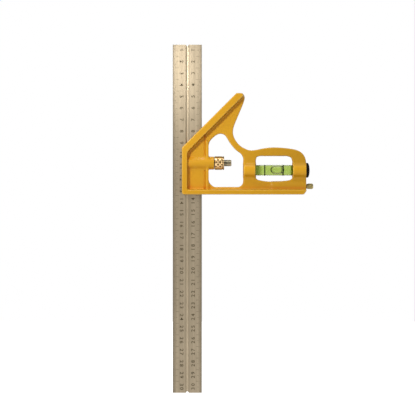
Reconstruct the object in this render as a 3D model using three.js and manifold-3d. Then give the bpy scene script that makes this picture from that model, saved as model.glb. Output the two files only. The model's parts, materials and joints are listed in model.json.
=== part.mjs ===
// Combination square, 300 mm: a cast head with a 90-degree face and a 45-degree face, a grooved
// steel rule that slides through it, a draw bolt with knurled nut and spring that clamps the rule,
// a spirit vial and a stowed scriber.
// Millimetres. +Z runs up along the rule, +X to the right, and the front of the tool faces -Y.
// Origin: middle of the head's 90-degree face (its underside), at mid-thickness.
import * as THREE from "three";
import { mergeVertices } from "three/addons/utils/BufferGeometryUtils.js";
import Module from "manifold-3d";

// ---------------------------------------------------------------- driving dimensions
const HEAD_X = 53.5; // half length of the 90-degree face
const HEAD_TOP = 87.1; // height of the tip of the 45-degree limb
const MITRE_Z = 40.3; // height at which the 45-degree face starts
const MITRE_T = 5.9; // thickness of the 45-degree flange
const FLANGE_Y = 8.5; // half thickness over the flanges
const FLANGE_BEVEL = 0.6;
const WEB_Y = 3.2; // half thickness of the web
const BASE_T = 4.1; // thickness of the base flange
const SIDE_T = 4.5; // thickness of the left flange
const CORNER_R = 2.0; // blunted outer corners
const RIB_LEFT = -32.6; // raised rib beside the left window
const RIB_RIGHT = -30.5;

const RULE_W = 25.0;
const RULE_T = 1.2;
const RULE_TOP = 129.1; // rule position at rest
const RULE_BOTTOM = RULE_TOP - 300;
const RULE_RIGHT = -36.4; // the edge that seats in the head
const RULE_LEFT = RULE_RIGHT - RULE_W;
const RULE_MID = RULE_RIGHT - RULE_W / 2;
const GROOVE_W = 2.6;
const GROOVE_FLOOR_Y = -RULE_T / 2 + 0.6; // the groove is 0.6 deep in the front face
const SLOT_Y = 0.75; // half width of the slot the rule runs in
const SLOT_SEAT = RULE_RIGHT + 0.2; // the slot's seat for the rule's edge

const BOLT_Z = 27.1;
const BOLT_R = 2.9; // M6 draw bolt
const BOLT_LEFT = -50.6; // its inner end, clamped
const BOLT_RIGHT = -10.9;
const BOLT_TRAVEL = 1.0; // one turn of the nut backs the bolt off by the thread's pitch
const BOLT_END_GAP = 0.4; // left over at the end of that travel
const NIB_GAP = 0.12; // between the bolt's nib and the groove
const NUT_LENGTH = 8.3;
const BOSS_R = 5.65;
const BOSS_END = -25.7;

const SPRING_BORE_R = 4.1;
const SPRING_SEAT = -33.5;
const SPRING_LEFT = SPRING_SEAT + 0.5;
const SPRING_RIGHT = BOSS_END - 0.45;
const SPRING_R = 3.55; // to the middle of the wire
const SPRING_TURNS = 5.5;
const WIRE_R = 0.35;

const VIAL_Z = 20.9;
const VIAL_R = 4.6;
const VIAL_BORE_R = VIAL_R + 0.2;
const VIAL_BOSS_R = 6.6;
const VIAL_LEFT = 4.6;
const VIAL_RIGHT = 46.6;
const VIAL_MID = (VIAL_LEFT + VIAL_RIGHT) / 2;
const CHAMBER_R = 3.7;
const CHAMBER_INSET = 4.4; // from either end of the tube
const CHAMBER_LEFT = VIAL_LEFT + CHAMBER_INSET;
const CHAMBER_RIGHT = VIAL_RIGHT - CHAMBER_INSET;
const CHAMBER_GAP = 0.15; // keeps plug and liquid clear of the tube
const LINE_OFFSET = 7.8; // marking lines, either side of the vial's middle
const LINE_HALF_W = 0.45;

const BUBBLE_X = 28.5;
const BUBBLE_Z = VIAL_Z + 0.35; // it floats against the top of the chamber
const BUBBLE_RADII = [5.85, 2.9, 2.95]; // along x, y, z
const BUBBLE_MIN = -8.0; // bubble travel from rest
const BUBBLE_MAX = 5.0;
const BUBBLE_GAP = 0.25; // between bubble and liquid
const BUBBLE_END_GAP = 0.3; // added to the travel at each end

const SCRIBER_Z = 7.1;
const SCRIBER_R = 1.2;
const SCRIBER_TIP = 9.5;
const NEEDLE_END = 57.0;
const BUSH_R = 2.3;

const BEYOND_HEAD = 60; // x past the head's right end, for bores that open there
const BEYOND_BOSS = -20; // x past the bolt boss's right end

// ---------------------------------------------------------------- solids from three.js geometry
const wasm = await Module();
wasm.setup();

function solid(geometry) {
  const bare = new THREE.BufferGeometry()
    .setAttribute("position", geometry.attributes.position)
    .setIndex(geometry.index);
  const merged = mergeVertices(bare, 1e-4);
  return new wasm.Manifold(
    new wasm.Mesh({
      numProp: 3,
      vertProperties: new Float32Array(merged.attributes.position.array),
      triVerts: new Uint32Array(merged.index.array),
    }),
  );
}

function geometryOf(manifold) {
  const mesh = manifold.getMesh();
  const geometry = new THREE.BufferGeometry()
    .setAttribute("position", new THREE.BufferAttribute(mesh.vertProperties.slice(), 3))
    .setIndex(new THREE.BufferAttribute(mesh.triVerts.slice(), 1));
  geometry.computeVertexNormals();
  return geometry;
}

const toVectors = (outline) => outline.map(([x, z]) => new THREE.Vector2(x, z));

// An outline of [x, z] points, extruded symmetrically about the mid-plane, with its rims
// rounded by `bevel`.
function slab(outline, halfY, bevel = 0, holes = []) {
  const shape = new THREE.Shape(toVectors(outline));
  for (const hole of holes) shape.holes.push(new THREE.Path(toVectors(hole)));
  const geometry = new THREE.ExtrudeGeometry(shape, {
    depth: 2 * (halfY - bevel),
    bevelEnabled: bevel > 0,
    bevelThickness: bevel,
    bevelSize: bevel,
    bevelOffset: -bevel,
    bevelSegments: 2,
    curveSegments: 1,
  });
  geometry.rotateX(Math.PI / 2); // shape y becomes Z, depth runs towards -Y
  geometry.translate(0, halfY - bevel, 0);
  return solid(geometry);
}

function box([x0, x1], [y0, y1], [z0, z1]) {
  const geometry = new THREE.BoxGeometry(x1 - x0, y1 - y0, z1 - z0);
  geometry.translate((x0 + x1) / 2, (y0 + y1) / 2, (z0 + z1) / 2);
  return solid(geometry);
}

// A body turned about a line parallel to X at height z. The profile is a list of [x, radius].
function turned(profile, z, segments) {
  const points = profile.map(([x, radius]) => new THREE.Vector2(radius, x));
  const geometry = new THREE.LatheGeometry(points, segments);
  geometry.rotateZ(-Math.PI / 2); // the lathe's axis +Y becomes +X
  geometry.translate(0, 0, z);
  return geometry;
}

const rod = (x0, x1, radius, z, segments = 40) =>
  solid(turned([[x0, 0], [x0, radius], [x1, radius], [x1, 0]], z, segments));

// A smooth open curve through [x, z] points, end points included.
function smooth(points, perSpan) {
  const curve = new THREE.CatmullRomCurve3(
    points.map(([x, z]) => new THREE.Vector3(x, z, 0)),
    false,
    "centripetal",
  );
  return curve.getPoints((points.length - 1) * perSpan).map((point) => [point.x, point.y]);
}

// ---------------------------------------------------------------- head casting
// Free edge of the casting, [x, z], from the right end over the vial frame and up the limb to its tip.
const LIMB_EDGE = [
  [53.5, 25.5], [53.1, 29.7], [51.7, 33.4], [48.9, 36.5], [44.7, 38.5], [39.1, 39.6], [32.5, 40.3],
  [25.0, 40.6], [18.0, 40.0], [12.0, 38.8], [7.4, 38.1], [4.7, 38.2], [2.4, 38.8], [0.2, 39.8],
  [-2.1, 41.1], [-4.1, 42.7], [-5.8, 44.5], [-7.4, 46.8], [-8.7, 49.3], [-9.5, 52.3], [-9.5, 55.4],
  [-8.7, 58.8], [-7.4, 62.2], [-5.9, 65.8], [-4.3, 69.6], [-2.7, 73.4], [-1.2, 77.1], [0.0, 80.4],
  [0.5, 82.8], [0.3, 84.6], [-0.6, 86.2], [-2.2, HEAD_TOP],
];

const WEB_OUTLINE = [
  [-52.6, 0.9], [51.0, 0.9], [52.6, 2.6], [HEAD_X, 4.2],
  ...smooth(LIMB_EDGE, 2),
  [-6.0, HEAD_TOP], [-7.0, 86.0], [-52.6, 40.4],
];

// Window between the rib and the vial, [x, z]
const LEFT_WINDOW = [
  [RIB_RIGHT, 12.6],
  ...smooth([
    [RIB_RIGHT, 42.4], [-29.3, 46.0], [-25.6, 49.9], [-22.6, 51.8], [-19.8, 52.3], [-16.9, 51.3],
    [-15.0, 49.0], [-12.3, 44.5], [-7.7, 38.9], [-2.4, 34.6], [-0.8, 31.4],
  ], 2),
  ...smooth([[-0.8, 11.6], [-1.5, 8.8], [-4.4, 6.5]], 3),
  ...smooth([[-25.4, 6.5], [-27.4, 7.6], [-29.8, 10.2], [RIB_RIGHT, 12.6]], 2).slice(0, -1),
];

// Window around the vial, [x, z]
const VIAL_WINDOW = [
  ...smooth([
    [10.1, 14.2], [11.4, 13.0], [15.5, 11.9], [20.5, 11.3], [26.0, 11.1], [31.5, 11.3],
    [36.5, 11.9], [40.4, 13.0], [41.6, 14.2],
  ], 2),
  ...smooth([[41.6, 29.4], [40.7, 32.2], [37.8, 33.1]], 3),
  ...smooth([[13.9, 33.1], [11.0, 32.2], [10.1, 29.4]], 3),
];

function baseFlange() {
  const corner = [180, 202.5, 225, 247.5, 270].map((degrees) => {
    const angle = THREE.MathUtils.degToRad(degrees);
    return [
      -HEAD_X + CORNER_R + CORNER_R * Math.cos(angle),
      CORNER_R + CORNER_R * Math.sin(angle),
    ];
  });
  const outline = [...corner, [51.2, 0], [HEAD_X, 3.0], [HEAD_X, BASE_T], [-HEAD_X, BASE_T]];
  return slab(outline, FLANGE_Y, FLANGE_BEVEL);
}

function sideFlange() {
  const bottom = BASE_T - 1.2; // overlaps the base flange
  const right = -HEAD_X + SIDE_T;
  return slab([
    [-HEAD_X, bottom], [right, bottom], [right, MITRE_Z + 1.0], [-HEAD_X, MITRE_Z - 3.0],
  ], FLANGE_Y, FLANGE_BEVEL);
}

function mitreFlange() {
  const thicknessZ = MITRE_T * Math.SQRT2; // the flange's thickness measured along Z
  const faceEnd = HEAD_TOP - MITRE_Z - HEAD_X; // x of the upper end of the 45-degree face
  const tipRight = faceEnd + thicknessZ - 2.4;
  const tangent = CORNER_R * Math.tan(Math.PI / 8); // tangent length of the blunted corner
  return slab([
    [-HEAD_X, MITRE_Z - tangent],
    [-HEAD_X, MITRE_Z - 5],
    [-HEAD_X + 3.2, MITRE_Z - thicknessZ + 3.2],
    [tipRight, HEAD_TOP - 2.4],
    [tipRight - 1.0, HEAD_TOP - 0.6],
    [tipRight - 1.0, HEAD_TOP],
    [faceEnd, HEAD_TOP],
    [-HEAD_X + tangent / Math.SQRT2, MITRE_Z + tangent / Math.SQRT2],
    [-HEAD_X + 0.08 * CORNER_R, MITRE_Z - 0.035 * CORNER_R],
  ], FLANGE_Y, FLANGE_BEVEL);
}

const rib = () => slab([
  [RIB_LEFT, 3.0], [RIB_RIGHT, 3.0], [RIB_RIGHT, 42.6], [-31.0, 44.6], [RIB_LEFT, 46.2],
], 4.4, 0.5);

// Bosses for the bolt, the two ends of the vial and the scriber
function bosses() {
  const boltBoss = [
    [-52.4, 0], [-52.4, BOSS_R], [BOSS_END - 0.7, BOSS_R], [BOSS_END, BOSS_R - 0.7], [BOSS_END, 0],
  ];
  const leftVialBoss = [
    [-0.4, 0], [-0.4, 6.0], [0.2, VIAL_BOSS_R], [9.1, VIAL_BOSS_R], [9.7, 6.0], [9.7, 0],
  ];
  const rightVialBoss = [
    [42.0, 0], [42.0, 6.0], [42.6, VIAL_BOSS_R], [HEAD_X, VIAL_BOSS_R], [HEAD_X, 0],
  ];
  const scriberBoss = [
    [22.9, 0], [23.2, 2.2], [24.2, 3.4], [25.6, 4.0], [HEAD_X, 4.0], [HEAD_X, 0],
  ];
  return [
    solid(turned(boltBoss, BOLT_Z, 48)),
    solid(turned(leftVialBoss, VIAL_Z, 48)),
    solid(turned(rightVialBoss, VIAL_Z, 48)),
    solid(turned(scriberBoss, SCRIBER_Z, 36)),
  ];
}

function headCuts() {
  const cuts = [box([-HEAD_X - 2, SLOT_SEAT], [-SLOT_Y, SLOT_Y], [-2, 70])];
  // shallow grooves left of the rib, front and back, broken by the bolt boss
  const grooveX = [-34.6, -33.2];
  const bossClear = BOSS_R + 0.25;
  for (const grooveY of [[-5, -1.9], [1.9, 5]]) {
    cuts.push(
      box(grooveX, grooveY, [BASE_T + 0.4, BOLT_Z - bossClear]),
      box(grooveX, grooveY, [BOLT_Z + bossClear, 51.6]),
    );
  }
  cuts.push(
    rod(BOLT_LEFT - BOLT_TRAVEL - BOLT_END_GAP, BEYOND_BOSS, BOLT_R + 0.25, BOLT_Z),
    rod(SPRING_SEAT, BEYOND_BOSS, SPRING_BORE_R, BOLT_Z),
    rod(VIAL_LEFT - 0.3, BEYOND_HEAD, VIAL_BORE_R, VIAL_Z, 48),
    rod(8.0, BEYOND_HEAD, SCRIBER_R + 0.3, SCRIBER_Z, 24),
    rod(47.2, BEYOND_HEAD, BUSH_R + 0.2, SCRIBER_Z, 24),
  );
  return cuts;
}

function headCasting() {
  const web = slab(WEB_OUTLINE, WEB_Y, 0.7, [LEFT_WINDOW, VIAL_WINDOW]);
  const body = [baseFlange(), sideFlange(), mitreFlange(), rib(), ...bosses()]
    .reduce((sum, piece) => sum.add(piece), web);
  return headCuts().reduce((rest, cut) => rest.subtract(cut), body);
}

// ---------------------------------------------------------------- rule
// Lead-in notch where the groove meets an end of the rule; `inward` is the Z sign into the rule.
function leadInNotch(end, inward) {
  const outside = end - inward;
  const bottom = end + inward * 1.3;
  const halfW = GROOVE_W / 2;
  return slab([
    [RULE_MID - 1.5, outside], [RULE_MID + 1.5, outside], [RULE_MID + halfW, end],
    [RULE_MID + 0.4, bottom], [RULE_MID - 0.4, bottom], [RULE_MID - halfW, end],
  ], 2);
}

function rule() {
  const halfW = GROOVE_W / 2;
  return box([RULE_LEFT, RULE_RIGHT], [-RULE_T / 2, RULE_T / 2], [RULE_BOTTOM, RULE_TOP])
    .subtract(box(
      [RULE_MID - halfW, RULE_MID + halfW],
      [-2, GROOVE_FLOOR_Y],
      [RULE_BOTTOM - 1, RULE_TOP + 1],
    ))
    .subtract(leadInNotch(RULE_BOTTOM, 1))
    .subtract(leadInNotch(RULE_TOP, -1));
}

// ---------------------------------------------------------------- clamp: draw bolt, nut, spring
// The bolt is round through the spring and the nut; beside the rule only its front part is left,
// and a nib near its left end stands in the rule's groove and pulls the rule against its seat.
function lockBolt() {
  const shank = solid(turned([
    [BOLT_LEFT, 0], [BOLT_LEFT, BOLT_R - 0.3], [BOLT_LEFT + 0.3, BOLT_R],
    [BOLT_RIGHT - 0.6, BOLT_R], [BOLT_RIGHT, BOLT_R - 0.6], [BOLT_RIGHT, 0],
  ], BOLT_Z, 40));
  const ruleSide = box(
    [-60, RULE_RIGHT + BOLT_TRAVEL + BOLT_END_GAP],
    [-0.72, 5],
    [BOLT_Z - 5, BOLT_Z + 5],
  );
  const nibRight = RULE_MID + GROOVE_W / 2 - NIB_GAP;
  const nib = box(
    [nibRight - 1.3, nibRight],
    [-1.4, GROOVE_FLOOR_Y - NIB_GAP],
    [BOLT_Z - 1.9, BOLT_Z + 1.9],
  );
  return shank.subtract(ruleSide).add(nib);
}

function lockNut() {
  const left = BOSS_END + 0.15;
  const right = left + NUT_LENGTH;
  return turned([
    [left, 3.05], [left, 5.2], [left + 0.4, 5.6],
    [right - 2.0, 5.6], [right - 1.8, 5.25], [right - 1.5, 5.25],
    [right - 1.4, 5.75], [right - 0.3, 5.75], [right, 5.45], [right, 3.05], [left, 3.05],
  ], BOLT_Z, 48);
}

class SpringCurve extends THREE.Curve {
  getPoint(fraction, target = new THREE.Vector3()) {
    const angle = 2 * Math.PI * SPRING_TURNS * fraction;
    return target.set(
      SPRING_LEFT + (SPRING_RIGHT - SPRING_LEFT) * fraction,
      SPRING_R * Math.cos(angle),
      BOLT_Z + SPRING_R * Math.sin(angle),
    );
  }
}

function lockSpring() {
  const wireSection = Array.from({ length: 8 }, (_, i) => {
    const angle = (i * Math.PI) / 4;
    return new THREE.Vector2(WIRE_R * Math.cos(angle), WIRE_R * Math.sin(angle));
  });
  return new THREE.ExtrudeGeometry(new THREE.Shape(wireSection), {
    steps: Math.round(SPRING_TURNS * 14),
    bevelEnabled: false,
    extrudePath: new SpringCurve(),
  });
}

// ---------------------------------------------------------------- scriber
const scriberNeedle = () => turned([
  [SCRIBER_TIP, 0], [SCRIBER_TIP + 0.1, 0.12], [SCRIBER_TIP + 6.5, SCRIBER_R],
  [NEEDLE_END, SCRIBER_R], [NEEDLE_END, 0],
], SCRIBER_Z, 24);

const scriberKnob = () => turned([
  [53.8, 1.35], [53.8, 1.95], [54.1, 2.15], [55.0, 2.15], [55.2, 2.4], [58.6, 2.4], [59.5, 1.5],
  [59.5, 0], [NEEDLE_END + 0.2, 0], [NEEDLE_END + 0.2, 1.35], [53.8, 1.35],
], SCRIBER_Z, 32);

const scriberBush = () => turned([
  [47.6, 1.32], [47.6, BUSH_R], [53.2, BUSH_R], [53.2, 1.32], [47.6, 1.32],
], SCRIBER_Z, 32);

// ---------------------------------------------------------------- vial
// The tube is closed at its left end; the plug closes the right.
const vialTube = () => turned([
  [VIAL_LEFT, 0], [VIAL_LEFT, VIAL_R - 0.3], [VIAL_LEFT + 0.3, VIAL_R], [VIAL_RIGHT, VIAL_R],
  [VIAL_RIGHT, CHAMBER_R], [CHAMBER_LEFT, CHAMBER_R], [CHAMBER_LEFT, 0],
], VIAL_Z, 48);

function vialPlug() {
  const left = CHAMBER_RIGHT + 0.3;
  const radius = CHAMBER_R - CHAMBER_GAP;
  return turned([[left, 0], [left, radius], [VIAL_RIGHT, radius], [VIAL_RIGHT, 0]], VIAL_Z, 40);
}

// The bubble's ellipsoid centred on the origin, its poles on X, enlarged by `grow`
function ellipsoid(grow) {
  const geometry = new THREE.SphereGeometry(1, 28, 14);
  geometry.rotateZ(Math.PI / 2);
  return geometry.scale(...BUBBLE_RADII.map((radius) => radius + grow));
}

const vialBubble = () => ellipsoid(0).translate(BUBBLE_X, 0, BUBBLE_Z);

// Room for the bubble along its whole travel: the ellipsoid pulled apart at its middle
function bubbleTrack() {
  const track = ellipsoid(BUBBLE_GAP);
  const position = track.attributes.position;
  for (let i = 0; i < position.count; i++) {
    const x = position.getX(i);
    if (x > 1e-6) position.setX(i, x + BUBBLE_MAX + BUBBLE_END_GAP);
    else if (x < -1e-6) position.setX(i, x + BUBBLE_MIN - BUBBLE_END_GAP);
  }
  return solid(track.translate(BUBBLE_X, 0, BUBBLE_Z));
}

function vialLiquid() {
  const opening = box( // opens the track along the top of the chamber
    [BUBBLE_X + BUBBLE_MIN - 4.5, BUBBLE_X + BUBBLE_MAX + 4.5],
    [-1.4, 1.4],
    [VIAL_Z + 2.5, VIAL_Z + 5],
  );
  return rod(CHAMBER_LEFT + CHAMBER_GAP, CHAMBER_RIGHT, CHAMBER_R - CHAMBER_GAP, VIAL_Z)
    .subtract(bubbleTrack())
    .subtract(opening);
}

function vialLine(x) {
  const left = x - LINE_HALF_W;
  const right = x + LINE_HALF_W;
  const inner = VIAL_R + 0.03;
  const outer = VIAL_R + 0.13;
  return turned(
    [[left, inner], [left, outer], [right, outer], [right, inner], [left, inner]], VIAL_Z, 48,
  );
}

const vialEndCap = () => turned([
  [VIAL_RIGHT + 0.3, 0], [VIAL_RIGHT + 0.3, 4.2], [VIAL_RIGHT + 0.7, 4.6],
  [HEAD_X + 0.15, 4.6], [HEAD_X + 0.15, 6.1], [HEAD_X + 0.5, 6.4], [HEAD_X + 1.1, 6.4],
  [HEAD_X + 1.9, 5.8], [HEAD_X + 2.5, 4.6], [HEAD_X + 2.85, 2.6], [HEAD_X + 2.95, 0],
], VIAL_Z, 48);

// ---------------------------------------------------------------- materials
const standard = (settings) => new THREE.MeshStandardMaterial(settings);
const clear = (settings) => standard({ metalness: 0, transparent: true, ...settings });

const paint = standard({ color: 0xe0a020, roughness: 0.45, metalness: 0 });
const ruleSteel = standard({ color: 0xa09480, roughness: 0.4, metalness: 0.9 });
const boltSteel = standard({ color: 0x9a9282, roughness: 0.35, metalness: 0.95 });
const springSteel = standard({ color: 0x8c8c8c, roughness: 0.35, metalness: 0.95 });
const brass = standard({ color: 0xc9a765, roughness: 0.35, metalness: 0.95 });
const scriberBrass = standard({ color: 0x9c8e5e, roughness: 0.45, metalness: 0.9 });
const hardSteel = standard({ color: 0x8a8a88, roughness: 0.3, metalness: 0.95 });
const nylon = standard({ color: 0xe8e4da, roughness: 0.55, metalness: 0 });
const blackInk = standard({ color: 0x101510, roughness: 0.6, metalness: 0 });
const blackRubber = standard({ color: 0x0c0c0c, roughness: 0.6, metalness: 0 });
const acrylic = clear({ color: 0xdff0c8, roughness: 0.1, opacity: 0.35 });
const spirit = clear({ color: 0x9ccf4a, roughness: 0.2, opacity: 0.8 });
const air = clear({ color: 0xe8f4d0, roughness: 0.1, opacity: 0.5 });

// ---------------------------------------------------------------- scene graph
function part(name, shape, material) {
  const geometry = shape.isBufferGeometry ? shape : geometryOf(shape);
  const mesh = new THREE.Mesh(geometry, material);
  mesh.name = name;
  return mesh;
}

const group = (...children) => new THREE.Group().add(...children);

const square = group(
  group(
    part("head_casting", headCasting(), paint),
    part("lock_spring", lockSpring(), springSteel),
    part("scriber_bush", scriberBush(), nylon),
    part("vial_tube", vialTube(), acrylic),
    part("vial_plug", vialPlug(), acrylic),
    part("vial_liquid", vialLiquid(), spirit),
    part("vial_line_left", vialLine(VIAL_MID - LINE_OFFSET), blackInk),
    part("vial_line_right", vialLine(VIAL_MID + LINE_OFFSET), blackInk),
    part("vial_end_cap", vialEndCap(), blackRubber),
  ),
  part("rule", rule(), ruleSteel),
  group(part("lock_bolt", lockBolt(), boltSteel), part("lock_nut", lockNut(), brass)),
  group(
    part("scriber_needle", scriberNeedle(), hardSteel),
    part("scriber_knob", scriberKnob(), scriberBrass),
  ),
  part("vial_bubble", vialBubble(), air),
);

export default square;
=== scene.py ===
# A combination square: a yellow cast head that slides on a 30 cm steel rule and carries a lock
# bolt with a brass nut, a spirit level vial and a scriber.
# X runs along the head's 90-degree face (z 0), and the rule stands along Z at the head's left.
# The tool is centred on y 0 and its front looks towards -Y. Shapes are in millimetres, scaled
# by MM when a mesh is made. Lights, floor and camera are in metres.
import json
import math
import bpy
import bmesh
import numpy as np
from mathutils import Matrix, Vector

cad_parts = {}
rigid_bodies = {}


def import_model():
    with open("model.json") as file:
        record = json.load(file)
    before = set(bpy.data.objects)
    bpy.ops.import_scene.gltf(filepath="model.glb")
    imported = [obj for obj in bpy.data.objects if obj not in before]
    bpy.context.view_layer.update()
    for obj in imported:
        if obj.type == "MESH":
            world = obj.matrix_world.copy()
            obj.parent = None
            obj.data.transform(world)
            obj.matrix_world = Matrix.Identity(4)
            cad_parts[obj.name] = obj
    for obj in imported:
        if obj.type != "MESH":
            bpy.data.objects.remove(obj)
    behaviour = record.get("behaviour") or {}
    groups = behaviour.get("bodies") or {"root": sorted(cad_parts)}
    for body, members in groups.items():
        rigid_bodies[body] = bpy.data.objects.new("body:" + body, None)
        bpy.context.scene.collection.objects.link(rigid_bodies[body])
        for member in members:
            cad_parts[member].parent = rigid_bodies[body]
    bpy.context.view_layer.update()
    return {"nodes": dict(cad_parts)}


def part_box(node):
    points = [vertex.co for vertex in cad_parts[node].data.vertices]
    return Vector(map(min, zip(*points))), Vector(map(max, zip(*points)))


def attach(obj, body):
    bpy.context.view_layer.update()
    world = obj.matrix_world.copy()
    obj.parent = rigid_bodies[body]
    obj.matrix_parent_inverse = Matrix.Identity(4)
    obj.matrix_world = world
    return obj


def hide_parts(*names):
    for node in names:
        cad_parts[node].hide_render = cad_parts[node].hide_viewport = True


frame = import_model()
MM = 0.001

# ------------------------------------------------------------------ places, read from the frame


def mm_box(node):
    low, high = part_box(node)
    return np.array(low) / MM, np.array(high) / MM


HEAD_LO, HEAD_HI = mm_box("head_casting")
RULE_LO, RULE_HI = mm_box("rule")
BOLT_LO, BOLT_HI = mm_box("lock_bolt")
NUT_LO, NUT_HI = mm_box("lock_nut")
TUBE_LO, TUBE_HI = mm_box("vial_tube")
LIQUID_LO, LIQUID_HI = mm_box("vial_liquid")
BUBBLE_LO, BUBBLE_HI = mm_box("vial_bubble")
PLUG_LO, PLUG_HI = mm_box("vial_plug")
CAP_LO, CAP_HI = mm_box("vial_end_cap")
KNOB_LO, KNOB_HI = mm_box("scriber_knob")
NEEDLE_LO, NEEDLE_HI = mm_box("scriber_needle")
BUSH_LO, BUSH_HI = mm_box("scriber_bush")
HEAD_X = HEAD_HI[0]                   # half length of the 90-degree face
HEAD_TOP = HEAD_HI[2]
FLANGE_Y = HEAD_HI[1]                 # half depth of the flanges
BOLT_Z = (NUT_LO[2] + NUT_HI[2]) / 2
VIAL_Z = (TUBE_LO[2] + TUBE_HI[2]) / 2
SCRIBER_Z = (KNOB_LO[2] + KNOB_HI[2]) / 2
RULE_MID = (RULE_LO[0] + RULE_HI[0]) / 2

# ------------------------------------------------------------------ mesh helpers


def make(name, verts, faces, smooth=True):
    """A linked object from millimetre vertices, with its normals facing out."""
    mesh = bpy.data.meshes.new(name)
    scaled = (np.asarray(verts) * MM).tolist()
    mesh.from_pydata([tuple(v) for v in scaled], [], [tuple(f) for f in faces])
    mesh.update()
    bm = bmesh.new()
    bm.from_mesh(mesh)
    bmesh.ops.recalc_face_normals(bm, faces=bm.faces)
    bm.to_mesh(mesh)
    bm.free()
    mesh.polygons.foreach_set("use_smooth", [smooth] * len(mesh.polygons))
    ob = bpy.data.objects.new(name, mesh)
    bpy.context.scene.collection.objects.link(ob)
    return ob


def finish_piece(ob, body, material, replaced=None):
    """Gives a piece its material, puts it on its body and hides the CAD piece it stands for."""
    ob.data.materials.clear()
    ob.data.materials.append(material)
    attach(ob, body)
    if replaced:
        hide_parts(replaced)


def sharpen(ob, degrees):
    """Marks the edges that bend more than the given angle as sharp."""
    bm = bmesh.new()
    bm.from_mesh(ob.data)
    limit = math.radians(degrees)
    for edge in bm.edges:
        if len(edge.link_faces) == 2 and edge.calc_face_angle(0) > limit:
            edge.smooth = False
    bm.to_mesh(ob.data)
    bm.free()


def bridge(rows, segments, closed=False):
    """Faces between neighbouring rings of vertex numbers. A ring of one vertex is a pole."""
    faces = []
    pairs = list(zip(rows, rows[1:])) + ([(rows[-1], rows[0])] if closed else [])
    for a, b in pairs:
        if len(a) == 1 and len(b) == 1:
            continue
        for i in range(segments):
            j = (i + 1) % segments
            if len(a) == 1:
                faces.append((a[0], b[j], b[i]))
            elif len(b) == 1:
                faces.append((a[i], a[j], b[0]))
            else:
                faces.append((a[i], a[j], b[j], b[i]))
    return faces


def turned(name, profile, axis_z, body, material, replaced,
           sharp=40, segments=96, closed=False, radial=None):
    """A piece turned about the line along X at (y 0, z axis_z).

    profile holds (x, radius) points, and radial(x, radius, angle) may change the radius.
    """
    angles = np.arange(segments) * 2 * math.pi / segments
    verts, rows = [], []
    for x, radius in profile:
        start = len(verts)
        if radius <= 1e-9:
            verts.append((x, 0.0, axis_z))
        else:
            for angle in angles:
                r = radial(x, radius, angle) if radial else radius
                verts.append((x, r * math.cos(angle), axis_z + r * math.sin(angle)))
        rows.append(list(range(start, len(verts))))
    ob = make(name, verts, bridge(rows, segments, closed))
    if sharp:
        sharpen(ob, sharp)
    finish_piece(ob, body, material, replaced)


def rounded(points, radius, steps=4, closed=False):
    """Rounds a polyline's corners with arcs of one radius, or of one radius per point."""
    points = [np.array(p, float) for p in points]
    last = len(points) - 1
    out = []
    for i, corner in enumerate(points):
        if not closed and i in (0, last):
            out.append(tuple(corner))
            continue
        wanted = radius[i] if isinstance(radius, list) else radius
        back = points[i - 1] - corner
        ahead = points[(i + 1) % len(points)] - corner
        back_length, ahead_length = np.linalg.norm(back), np.linalg.norm(ahead)
        if wanted <= 0 or back_length < 1e-6 or ahead_length < 1e-6:
            out.append(tuple(corner))
            continue
        back, ahead = back / back_length, ahead / ahead_length
        angle = math.acos(max(-1, min(1, float(back @ ahead))))
        if angle > math.pi - 0.05:               # almost straight
            out.append(tuple(corner))
            continue
        trim = min(wanted / math.tan(angle / 2), back_length * 0.45, ahead_length * 0.45)
        fitted = trim * math.tan(angle / 2)
        bisector = (back + ahead) / np.linalg.norm(back + ahead)
        centre = corner + bisector * (fitted / math.sin(angle / 2))
        start, end = corner + back * trim - centre, corner + ahead * trim - centre
        for k in range(steps + 1):
            spoke = start * (1 - k / steps) + end * (k / steps)
            out.append(tuple(centre + spoke / np.linalg.norm(spoke) * fitted))
    return out


def catmull(points, steps):
    """Centripetal Catmull-Rom curve through points, with steps points per span."""
    points = [np.array(p, float) for p in points]
    points = [2 * points[0] - points[1]] + points + [2 * points[-1] - points[-2]]
    out = []
    for i in range(1, len(points) - 2):
        p0, p1, p2, p3 = four = points[i - 1:i + 3]
        knots = [0]
        for a, b in zip(four, four[1:]):
            knots.append(knots[-1] + np.linalg.norm(b - a) ** 0.5)
        for k in range(steps):
            t = knots[1] + (knots[2] - knots[1]) * k / steps

            def blend(first, second, a, b):
                ta, tb = knots[first], knots[second]
                return (tb - t) / (tb - ta) * a + (t - ta) / (tb - ta) * b

            middle = blend(1, 2, p1, p2)
            early = blend(0, 2, blend(0, 1, p0, p1), middle)
            late = blend(1, 3, middle, blend(2, 3, p2, p3))
            out.append(tuple(blend(1, 2, early, late)))
    out.append(tuple(points[-2]))
    return out


def prism_data(section, low, high, axis):
    """Vertices and faces of a section swept along an axis (1 is Y, 2 is Z)."""
    count = len(section)
    verts = [(*p[:axis], level, *p[axis:]) for level in (low, high) for p in section]
    faces = [(i, (i + 1) % count, count + (i + 1) % count, count + i) for i in range(count)]
    faces += [tuple(range(count))[::-1], tuple(range(count, 2 * count))]
    return verts, faces


def prism(name, section, low, high, axis):
    return make(name, *prism_data(section, low, high, axis), smooth=False)


def box_cutter(x_range, y_range, z_range):
    verts = [(x, y, z) for x in x_range for y in y_range for z in z_range]
    faces = [(0, 1, 3, 2), (4, 6, 7, 5), (0, 4, 5, 1), (2, 3, 7, 6), (0, 2, 6, 4), (1, 5, 7, 3)]
    return make("cut", verts, faces, smooth=False)


def evaluated_mesh(ob):
    depsgraph = bpy.context.evaluated_depsgraph_get()
    return bpy.data.meshes.new_from_object(ob.evaluated_get(depsgraph))


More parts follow.
